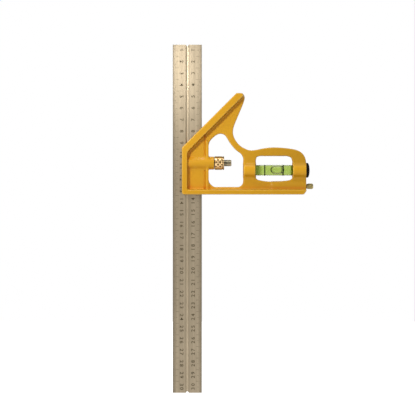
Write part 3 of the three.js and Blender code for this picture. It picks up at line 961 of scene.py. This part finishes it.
def digit_shapes():
    """Flat outlines of the ten digits, as (points, faces) at font size 1."""
    shapes = {}
    for digit in "0123456789":
        curve = bpy.data.curves.new("t", "FONT")
        curve.body = digit
        curve.size = 1.0
        curve.resolution_u = 3
        curve.offset = 0.012
        ob = bpy.data.objects.new("t", curve)
        bpy.context.scene.collection.objects.link(ob)
        mesh = evaluated_mesh(ob)
        points = np.array([v.co[:] for v in mesh.vertices])[:, :2]
        shapes[digit] = points, [tuple(p.vertices) for p in mesh.polygons]
        bpy.data.objects.remove(ob)
        bpy.data.curves.remove(curve)
    return shapes


DIGITS = digit_shapes()
EIGHT_LOW = DIGITS["8"][0].min(axis=0)           # the 8 sets the size of all digits
EIGHT_SIZE = DIGITS["8"][0].max(axis=0) - EIGHT_LOW


def solidify(flat, flat_faces, place, start, end):
    """Makes a flat glyph a closed slab. place maps (u, v, depth) to x, y and z."""
    bm = bmesh.new()
    corners = [bm.verts.new((u, v, 0)) for u, v in flat]
    for face in flat_faces:
        try:
            bm.faces.new([corners[i] for i in face])
        except ValueError:                       # a face the font mesh gives twice or collapsed
            pass
    bmesh.ops.remove_doubles(bm, verts=bm.verts, dist=1e-5)
    bmesh.ops.dissolve_limit(bm, angle_limit=0.02, verts=bm.verts, edges=bm.edges)
    bm.verts.index_update()
    count = len(bm.verts)
    verts = [place(v.co.x, v.co.y, depth) for depth in (start, end) for v in bm.verts]
    faces = []
    for face in bm.faces:
        ids = [v.index for v in face.verts]
        faces.append(tuple(ids))
        faces.append(tuple(i + count for i in reversed(ids)))
    for edge in bm.edges:
        if len(edge.link_faces) == 1:
            loop = edge.link_loops[0]
            a, b = loop.vert.index, loop.link_loop_next.vert.index
            faces.append((b, a, a + count, b + count))
    bm.free()
    return verts, faces


def digit_slab(digit, column, shift, middle_z, y_in, y_out, front):
    """One digit. Column -1 is on the left and reads down, 1 is on the right and reads up."""
    points, faces = DIGITS[digit]
    middle = (points[:, 0].min() + points[:, 0].max()) / 2
    flat = [((u - middle) / EIGHT_SIZE[0] * DIGIT_WIDTH,
             (v - EIGHT_LOW[1]) / EIGHT_SIZE[1] * DIGIT_HEIGHT) for u, v in points]

    def place(u, v, y):
        x = RULE_MID + column * DIGIT_BASELINE - column * v    # tops towards the groove
        if not front:
            x = 2 * RULE_MID - x                 # seen from the back, the same layout
        return x, y, middle_z + column * (shift + u)

    return solidify(flat, faces, place, y_in, y_out)


def marks_piece(name, front):
    """Millimetre graduations along both edges and two columns of centimetre numbers."""
    y_face, outward = (RULE_LO[1], -1) if front else (RULE_HI[1], 1)
    y_out, y_in = y_face + outward * MARK_RAISED, y_face - outward * MARK_SUNK
    left, right, top = RULE_LO[0], RULE_HI[0], RULE_HI[2]
    verts, faces = [], []

    def add(new_verts, new_faces):
        start = len(verts)
        verts.extend(new_verts)
        faces.extend(tuple(i + start for i in face) for face in new_faces)

    for i in range(1, 10 * RULE_CM):
        z = top - i
        length = 5.0 if i % 10 == 0 else 3.9 if i % 5 == 0 else 2.7
        half = 0.10 if i % 10 == 0 else 0.085
        for x0, x1 in ((left + MARK_INSET, left + length), (right - length, right - MARK_INSET)):
            line = [(x0, z - half), (x1, z - half), (x1, z + half), (x0, z + half)]
            add(*prism_data(line, y_out, y_in, axis=1))
    for cm in range(1, RULE_CM + 1):
        middle_z = top - 10 * cm + DIGIT_RISE
        text = str(cm)
        for column in (-1, 1):
            for k, digit in enumerate(text):
                shift = (k - (len(text) - 1) / 2) * DIGIT_PITCH
                add(*digit_slab(digit, column, shift, middle_z, y_in, y_out, front))
    finish_piece(make(name, verts, faces, smooth=False), "rule", INK)


marks_piece("rule_marks_front", front=True)
marks_piece("rule_marks_back", front=False)

# ------------------------------------------------------------------ lock bolt


def bolt_piece():
    """Threaded bolt with a nib that stands in the rule's groove."""
    x0, x1 = BOLT_LO[0], BOLT_HI[0]
    bolt_r, thread_depth, pitch = 2.88, 0.34, 1.0
    thread_x, chamfer = -33.0, 0.35
    segments, rings_per_pitch = 64, 12

    def radius(x, angle):
        if x >= thread_x:
            phase = ((x - angle / (2 * math.pi) * pitch) / pitch) % 1.0
            height = min(max((1 - abs(2 * phase - 1) - 0.12) / 0.76, 0), 1)
            run_in = min(1, (x - thread_x) / 1.0)
            tip = bolt_r - max(0, x - (x1 - 0.9)) * 0.75
            return min(bolt_r - thread_depth * (1 - height) * run_in, tip)
        if x < x0 + chamfer:
            return bolt_r - 0.3 * (1 - (x - x0) / chamfer)
        return bolt_r

    stations = [x0, x0 + 0.15, x0 + chamfer, thread_x - 0.4]
    stations += list(np.arange(thread_x, x1 - 0.02, pitch / rings_per_pitch)) + [x1]
    verts, rows = [], []
    for x in stations:
        rows.append(list(range(len(verts), len(verts) + segments)))
        for i in range(segments):
            angle = 2 * math.pi * i / segments
            r = radius(x, angle)
            verts.append((x, r * math.cos(angle), BOLT_Z + r * math.sin(angle)))
    faces = bridge(rows, segments)
    start_centre, end_centre = len(verts), len(verts) + 1
    verts += [(x0, 0, BOLT_Z), (x1 - 0.12, 0, BOLT_Z)]
    for i in range(segments):
        j = (i + 1) % segments
        faces.append((rows[0][j], rows[0][i], start_centre))
        faces.append((rows[-1][i], rows[-1][j], end_centre))
    ob = make("lock_bolt_threaded", verts, faces, smooth=False)

    # beside the rule only the front part of the bolt is left
    apply_boolean(ob, "DIFFERENCE", box_cutter(
        (x0 - 2, RULE_HI[0] + 1.4), (-0.74, 5), (BOLT_Z - 6, BOLT_Z + 6)))
    nib_right = RULE_MID + 1.0
    nib_left = nib_right - 1.1
    nib = rounded([(nib_left, -1.5), (nib_left, -0.34), (nib_right, -0.34), (nib_right, -1.5)],
                  0.25, steps=3)
    apply_boolean(ob, "UNION", prism("nib", nib, BOLT_Z - 1.9, BOLT_Z + 1.9, axis=2))
    # keyway milled along the free end of the thread
    apply_boolean(ob, "DIFFERENCE", box_cutter(
        (x1 - 8.5, x1 + 2), (-4, -1.75), (BOLT_Z - 0.36, BOLT_Z + 0.36)))
    smooth_all(ob.data)
    sharpen(ob, 28)
    finish_piece(ob, "bolt", BOLT_STEEL, "lock_bolt")


bolt_piece()

# ------------------------------------------------------------------ lock nut


def nut_piece():
    """Coarse diamond knurl with a plain collar at its right end."""
    x0, x1 = NUT_LO[0], NUT_HI[0]
    nut_r, knurl_depth, bore_r = 5.8, 1.05, 3.05
    knurl_x0, knurl_x1 = x0 + 0.35, x1 - 1.45
    pits_round, pit_pitch = 8, 3.75              # pits round the nut, and spacing along it
    pit_x, pit_angle = x0 + 1.25, math.pi - math.radians(8)

    def off_ridge(phase):
        """0 along a ridge, 1 midway between two ridges."""
        return abs(phase % 1.0 - 0.5) * 2

    def knurled(x, r, angle):
        if not (knurl_x0 < x <= knurl_x1 and r > nut_r - 0.01):
            return r
        turn = (angle - pit_angle) * pits_round / (2 * math.pi)
        along = (x - pit_x) / pit_pitch
        pit = min(off_ridge(turn + along), off_ridge(turn - along))
        depth = knurl_depth * min(1.0, max(0.0, (pit - 0.34) / 0.40)) ** 1.2
        return r - depth * min(1, (x - knurl_x0) / 0.5, (knurl_x1 - x) / 0.3 + 0.35)

    profile = [(x0, bore_r + 0.35), (x0, nut_r - 0.75), (x0 + 0.35, nut_r - 0.25)]
    profile += [(x, nut_r) for x in np.linspace(knurl_x0 + 0.05, knurl_x1, 44)]
    profile += rounded([
        (knurl_x1 + 0.05, nut_r - 0.55), (knurl_x1 + 0.35, nut_r - 0.55),
        (knurl_x1 + 0.40, nut_r - 0.02), (x1, nut_r - 0.02), (x1, nut_r - 0.9)],
        [0, 0.05, 0.12, 0.3, 0])
    profile += [(x1, bore_r + 0.4), (x1 - 0.4, bore_r), (x0 + 0.4, bore_r)]
    turned("lock_nut_knurled", profile, BOLT_Z, "nut", NUT_BRASS, "lock_nut",
           segments=240, closed=True, radial=knurled)


nut_piece()

# ------------------------------------------------------------------ vial
TUBE_R = TUBE_HI[2] - VIAL_Z
CHAMBER_R = 3.7


def tube_piece():
    x0, x1 = TUBE_LO[0], TUBE_HI[0]
    chamber_x = LIQUID_LO[0] + 0.03
    profile = rounded([
        (x0, 0), (x0, TUBE_R - 0.01), (x1, TUBE_R - 0.01), (x1, CHAMBER_R),
        (chamber_x, CHAMBER_R), (chamber_x, 0)], [0, 0.5, 0.25, 0.1, 0.6, 0], steps=5)
    turned("vial_body", profile, VIAL_Z, "head", ACRYLIC, "vial_tube")


def liquid_piece():
    x0, x1 = LIQUID_LO[0], LIQUID_HI[0]
    radius = CHAMBER_R + 0.03
    profile = rounded([(x0, 0), (x0, radius), (x1, radius), (x1, 0)],
                      [0, 0.6, 0.3, 0], steps=5)
    turned("vial_spirit_fill", profile, VIAL_Z, "head", SPIRIT, "vial_liquid")


def bubble_piece():
    """Blunt-ended bubble: a superellipse along X."""
    middle_x, _, middle_z = (BUBBLE_LO + BUBBLE_HI) / 2
    half_x, _, radius = (BUBBLE_HI - BUBBLE_LO) / 2
    bluntness, steps = 0.85, 40
    profile = []
    for i in range(steps + 1):
        cos, sin = math.cos(math.pi * i / steps), math.sin(math.pi * i / steps)
        along = -math.copysign(abs(cos) ** bluntness, cos)
        profile.append((middle_x + half_x * along, radius * abs(sin) ** bluntness))
    turned("vial_air_bubble_skin", profile, middle_z, "bubble", AIR,
           "vial_bubble", sharp=None, segments=64)


def ring_piece(side):
    low, high = mm_box(f"vial_line_{side}")
    inner, outer = TUBE_R + 0.02, high[2] - VIAL_Z
    profile = rounded([(low[0], inner), (low[0], outer), (high[0], outer), (high[0], inner)],
                      0.04, steps=2, closed=True)
    turned(f"vial_ring_{side}", profile, VIAL_Z, "head", RING_INK,
           f"vial_line_{side}", sharp=None, closed=True)


def plug_piece():
    x0, x1 = PLUG_LO[0], PLUG_HI[0]
    radius = CHAMBER_R - 0.15
    profile = rounded([(x0, 0), (x0, radius), (x1, radius), (x1, 0)], [0, 0.3, 0.2, 0])
    turned("vial_end_plug", profile, VIAL_Z, "head", PLUG_ACRYLIC, "vial_plug")


def cap_piece():
    """Domed cap with a stem that reaches into the head."""
    x0, x1 = CAP_LO[0], CAP_HI[0]
    radius = CAP_HI[2] - VIAL_Z
    lip = HEAD_X + 0.15
    dome_x = lip + 0.95
    profile = rounded([(x0, 0), (x0, 4.5), (lip, 4.6), (lip, radius - 0.05)],
                      [0, 0.4, 0.15, 0])
    profile += [(lip + 0.12, radius - 0.02), (lip + 0.35, radius), (dome_x, radius)]
    profile += [(dome_x + (x1 - dome_x) * math.sin(q), radius * math.cos(q) ** 0.9)
                for q in np.linspace(0.12, math.pi / 2, 16)[:-1]]
    profile.append((x1, 0.0))
    turned("vial_cap_dome", profile, VIAL_Z, "head", RUBBER, "vial_end_cap",
           sharp=45)


tube_piece()
liquid_piece()
bubble_piece()
for side in ("left", "right"):
    ring_piece(side)
plug_piece()
cap_piece()

# ------------------------------------------------------------------ scriber


def knob_piece():
    """Fluted knob, hollow where the needle enters."""
    x0, x1 = KNOB_LO[0], KNOB_HI[0]
    radius, bore_r = KNOB_HI[2] - SCRIBER_Z, 1.35
    bore_end = NEEDLE_HI[0] + 0.2
    flutes = 28

    def fluted(x, r, angle):
        if r > radius - 0.02 and x0 + 1.7 < x < x1 - 1.2:
            return r - 0.13 * (0.5 + 0.5 * math.cos(flutes * angle)) ** 2
        return r

    profile = rounded([
        (x0, bore_r), (x0, radius - 0.45), (x0 + 0.3, radius - 0.25),
        (x0 + 1.2, radius - 0.25)], [0, 0.1, 0.1, 0], steps=3)
    profile.append((x0 + 1.4, radius - 0.01))
    profile += [(x, radius) for x in np.linspace(x0 + 1.75, x1 - 1.25, 10)]
    profile += [(x1 - 1.1, radius - 0.01), (x1 - 0.85, radius - 0.06), (x1 - 0.1, radius - 0.85),
                (x1, radius - 1.05), (x1, 0.0), (bore_end, 0.0), (bore_end, bore_r)]
    turned("scriber_knob_turned", profile, SCRIBER_Z, "scriber", KNOB_BRASS,
           "scriber_knob", sharp=30, segments=4 * flutes, closed=True, radial=fluted)


def needle_piece():
    x0, x1 = NEEDLE_LO[0], NEEDLE_HI[0]
    radius = NEEDLE_HI[2] - SCRIBER_Z
    profile = [(x0, 0), (x0 + 0.08, 0.10), (x0 + 0.3, 0.17), (x0 + 6.5, radius - 0.01),
               (x0 + 6.9, radius), (x1 - 0.3, radius), (x1, radius - 0.2), (x1, 0)]
    turned("scriber_point", profile, SCRIBER_Z, "scriber", NEEDLE_STEEL,
           "scriber_needle", segments=48)


def bush_piece():
    x0, x1, inner, outer = BUSH_LO[0], BUSH_HI[0], 1.32, 2.3
    profile = rounded([(x0, inner), (x0, outer), (x1, outer), (x1, inner)],
                      0.2, steps=3, closed=True)
    turned("scriber_sleeve", profile, SCRIBER_Z, "head", NYLON, "scriber_bush",
           segments=72, closed=True)


knob_piece()
needle_piece()
bush_piece()

# ------------------------------------------------------------------ spring


def spring_piece():
    """The CAD spring stays, in drawn-wire steel."""
    spring = frame["nodes"]["lock_spring"]
    # the frame may hold the object, its name or a record with its name
    if not hasattr(spring, "material_slots"):
        spring = bpy.data.objects[spring if isinstance(spring, str) else spring["object"]]
    for material_slot in spring.material_slots:
        material_slot.material = WIRE


spring_piece()

# ------------------------------------------------------------------ floor
FLOOR_DROP = 0.104                    # below the rule's lower end


def floor_material():
    """A white sweep: the floor fades to plain white away from the tool."""
    material, s = new_material("floor_pale")
    cloud = s.noise(s.coordinates(), scale=12)
    away = s.node("VectorMath", operation="LENGTH")
    s.feed(away.inputs[0], s.node("TexCoord").outputs["Object"])
    glow = s.remap(away.outputs["Value"], (0.12, 0.46), to=(0.34, 1.0))
    ray = s.node("LightPath").outputs
    seen = s.math("MAXIMUM", ray["Is Camera Ray"], ray["Is Glossy Ray"])
    s.set_surface({
        "Base Color": s.ramp(cloud, [(0.3, 0.86), (0.7, 0.9)]),
        "Roughness": 0.8,
        "Specular IOR Level": 0.2,
        "Emission Color": (1, 1, 1),
        "Emission Strength": s.math("MULTIPLY", seen, glow)})
    return material


def add_floor():
    bm = bmesh.new()
    bmesh.ops.create_grid(bm, x_segments=8, y_segments=8, size=3.0)
    mesh = bpy.data.meshes.new("floor")
    bm.to_mesh(mesh)
    bm.free()
    floor = bpy.data.objects.new("floor", mesh)
    floor.location = (0, 0, RULE_LO[2] * MM - FLOOR_DROP)
    bpy.context.scene.collection.objects.link(floor)
    mesh.materials.append(floor_material())
    floor.visible_transmission = False           # the vial shows the white behind it instead


add_floor()

# ------------------------------------------------------------------ world
AMBIENT = 0.40


def build_world():
    """Plain white to the camera, with its own light for each kind of ray."""
    world = bpy.data.worlds.new("studio")
    bpy.context.scene.world = world
    world.use_nodes = True
    s = Shader(world.node_tree)
    output = s.node("OutputWorld")
    ray = s.node("LightPath").outputs
    _, y, z = s.position("Generated")

    def background(colour, strength=1.0):
        node = s.node("Background")
        s.feed(node.inputs[0], colour)
        s.feed(node.inputs[1], strength)
        return node.outputs[0]

    ambient = background(s.ramp(s.remap(z, (-1, 1)), [(0.0, 1.25), (0.5, 0.97), (1.0, 1.05)]),
                         AMBIENT)
    reflected = background(s.ramp(s.remap(z, (-0.3, 0.5)), [
        (0.0, (1.0, 0.99, 0.97)), (0.36, (0.92, 0.91, 0.88)), (0.50, (0.50, 0.49, 0.47)),
        (0.75, 0.40), (1.0, (0.75, 0.75, 0.76))]))
    # through clear pieces: white behind and before the tool, greyer towards the sides
    through = background(s.ramp(s.remap(y, (-1, 1)), [
        (0.0, 0.95), (0.13, 0.80), (0.27, 0.22), (0.38, 0.16), (0.70, 0.16), (0.868, 0.70),
        (0.98, 1.0)]))
    sky = s.mix_shader(ray["Is Glossy Ray"], ambient, reflected)
    sky = s.mix_shader(ray["Is Transmission Ray"], sky, through)
    sky = s.mix_shader(ray["Is Camera Ray"], sky, background((1.0, 1.0, 1.0)))
    s.feed(output.inputs[0], sky)


build_world()

# ------------------------------------------------------------------ lights


def area_light(name, location, target, size, power, color=(1, 1, 1)):
    light = bpy.data.lights.new(name, "AREA")
    light.shape = "DISK"
    light.size = size
    light.energy = power
    light.color = color
    ob = bpy.data.objects.new(name, light)
    ob.location = location
    aim = Vector(target) - Vector(location)
    ob.rotation_euler = aim.to_track_quat("-Z", "Y").to_euler()
    ob.visible_camera = False
    bpy.context.scene.collection.objects.link(ob)
    ob.visible_transmission = False


area_light("key", location=(-0.156, -0.218, 0.130), target=(-0.03, 0, 0.03), size=0.045,
           power=0.365, color=(1.0, 0.99, 0.97))
area_light("top", location=(-0.02, -0.14, 0.42), target=(-0.01, 0, 0.03), size=0.10,
           power=0.25, color=(1.0, 0.99, 0.96))
area_light("rim", location=(0.2, 0.9, 0.8), target=(0, 0, 0.0), size=0.7, power=2.0)

# ------------------------------------------------------------------ camera
VIEW_WIDTH = 356.83577                # mm across the view at the target
VIEW_X, VIEW_Z = -31.51333, -11.17799            # mm, the view's centre
LENS, SENSOR = 180, 36


def add_camera():
    """Square to the tool's front."""
    camera = bpy.data.cameras.new("cam")
    ob = bpy.data.objects.new("cam", camera)
    camera.lens, camera.sensor_width = LENS, SENSOR
    distance = VIEW_WIDTH * LENS / SENSOR
    ob.location = (VIEW_X * MM, -(distance + FLANGE_Y * 0.5) * MM, VIEW_Z * MM)
    ob.rotation_euler = (math.pi / 2, 0, 0)
    camera.clip_start, camera.clip_end = 0.01, 20
    bpy.context.scene.collection.objects.link(ob)
    bpy.context.scene.camera = ob


add_camera()

# ------------------------------------------------------------------ render settings
view = bpy.context.scene.view_settings
view.view_transform = "Standard"
view.look = "None"
view.exposure = 0.0
view.gamma = 1.0
cycles = bpy.context.scene.cycles
cycles.use_denoising = True
cycles.denoising_prefilter = "FAST"
cycles.max_bounces = 14
cycles.transmission_bounces = 12
cycles.transparent_max_bounces = 12
cycles.glossy_bounces = 5
cycles.diffuse_bounces = 4
cycles.caustics_reflective = False
cycles.sample_clamp_indirect = 2.5
